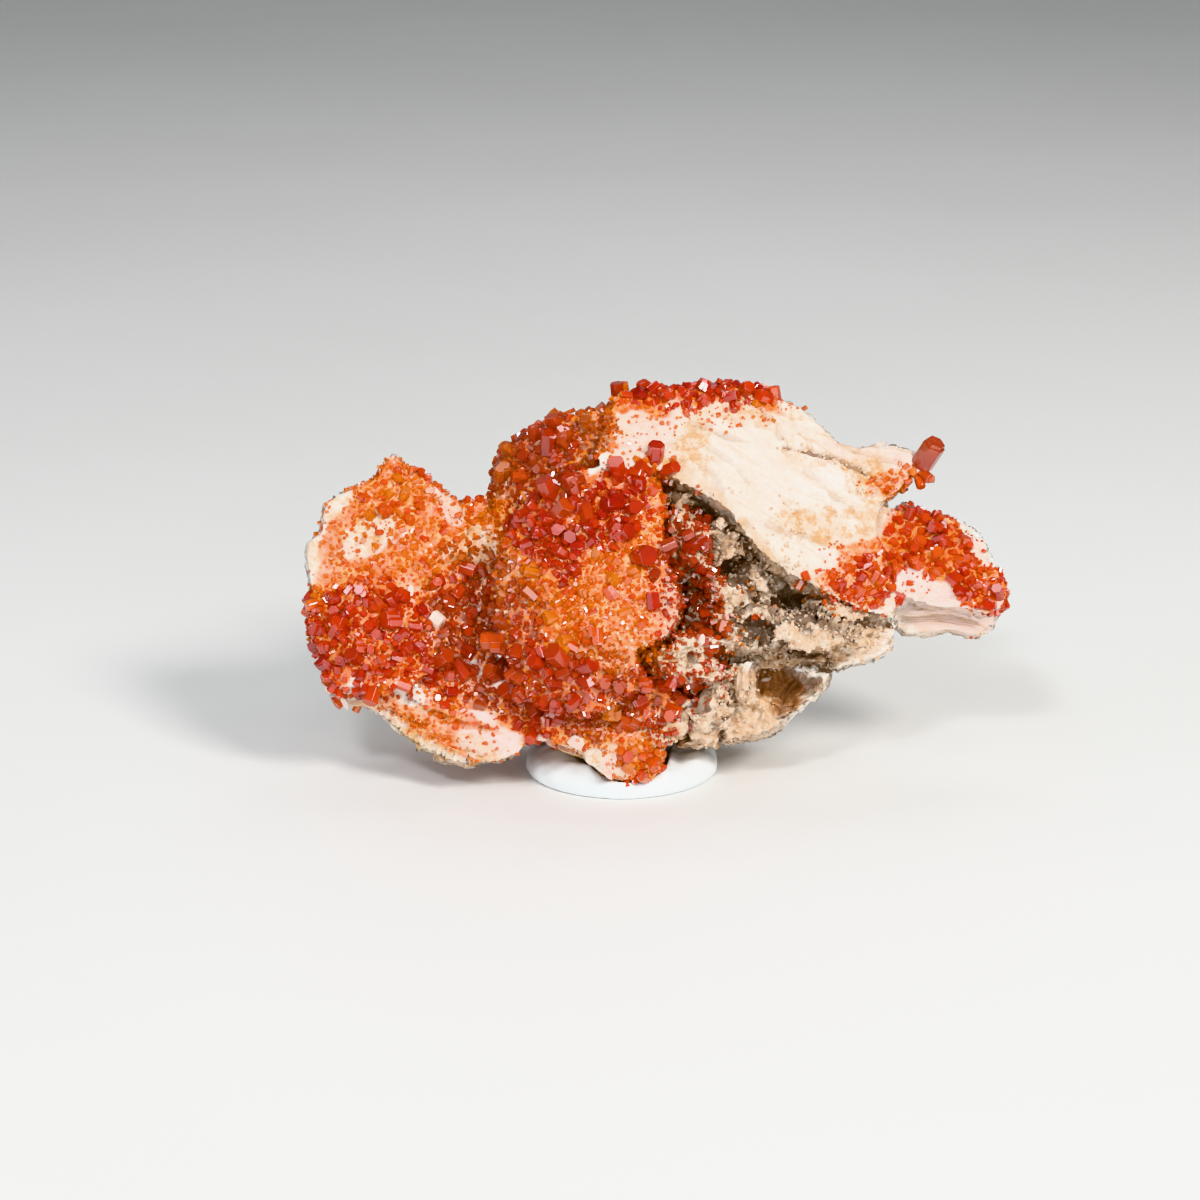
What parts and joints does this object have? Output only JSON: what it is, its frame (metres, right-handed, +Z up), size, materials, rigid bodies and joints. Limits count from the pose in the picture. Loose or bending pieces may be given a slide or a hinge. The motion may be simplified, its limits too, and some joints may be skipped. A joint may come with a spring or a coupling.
{
  "type": "vanadinite on matrix",
  "caption": "Mineral specimen: orange-red vanadinite crystals on white barite blades and brown limonite, pressed into a disc of white mounting putty so that it stands upright.",
  "frame": {"origin": "centre of the putty disc's flat underside", "axes": "+Z up, +X to the right along the specimen's length seen from its best side, +Y away from that side"},
  "size_m": [0.0636, 0.0253, 0.0357],
  "materials": {
    "barite": "satin",
    "limonite": "earthy",
    "vanadinite": "glossy",
    "putty": "matte"
  },
  "bodies": {
    "root": {"barite_blades": "barite", "barite_hollow_shell": "barite", "barite_rim_blade": "barite", "barite_back_blades": "barite", "limonite_matrix": "limonite", "vanadinite_main_crust": "vanadinite", "vanadinite_upper_left_crust": "vanadinite", "vanadinite_top_crust": "vanadinite", "vanadinite_plate_crust": "vanadinite", "vanadinite_arm_crust": "vanadinite", "vanadinite_foot_crust": "vanadinite", "vanadinite_pocket_crust": "vanadinite", "vanadinite_tip_crystal": "vanadinite", "mounting_putty": "putty"}
  },
  "joints": []
}
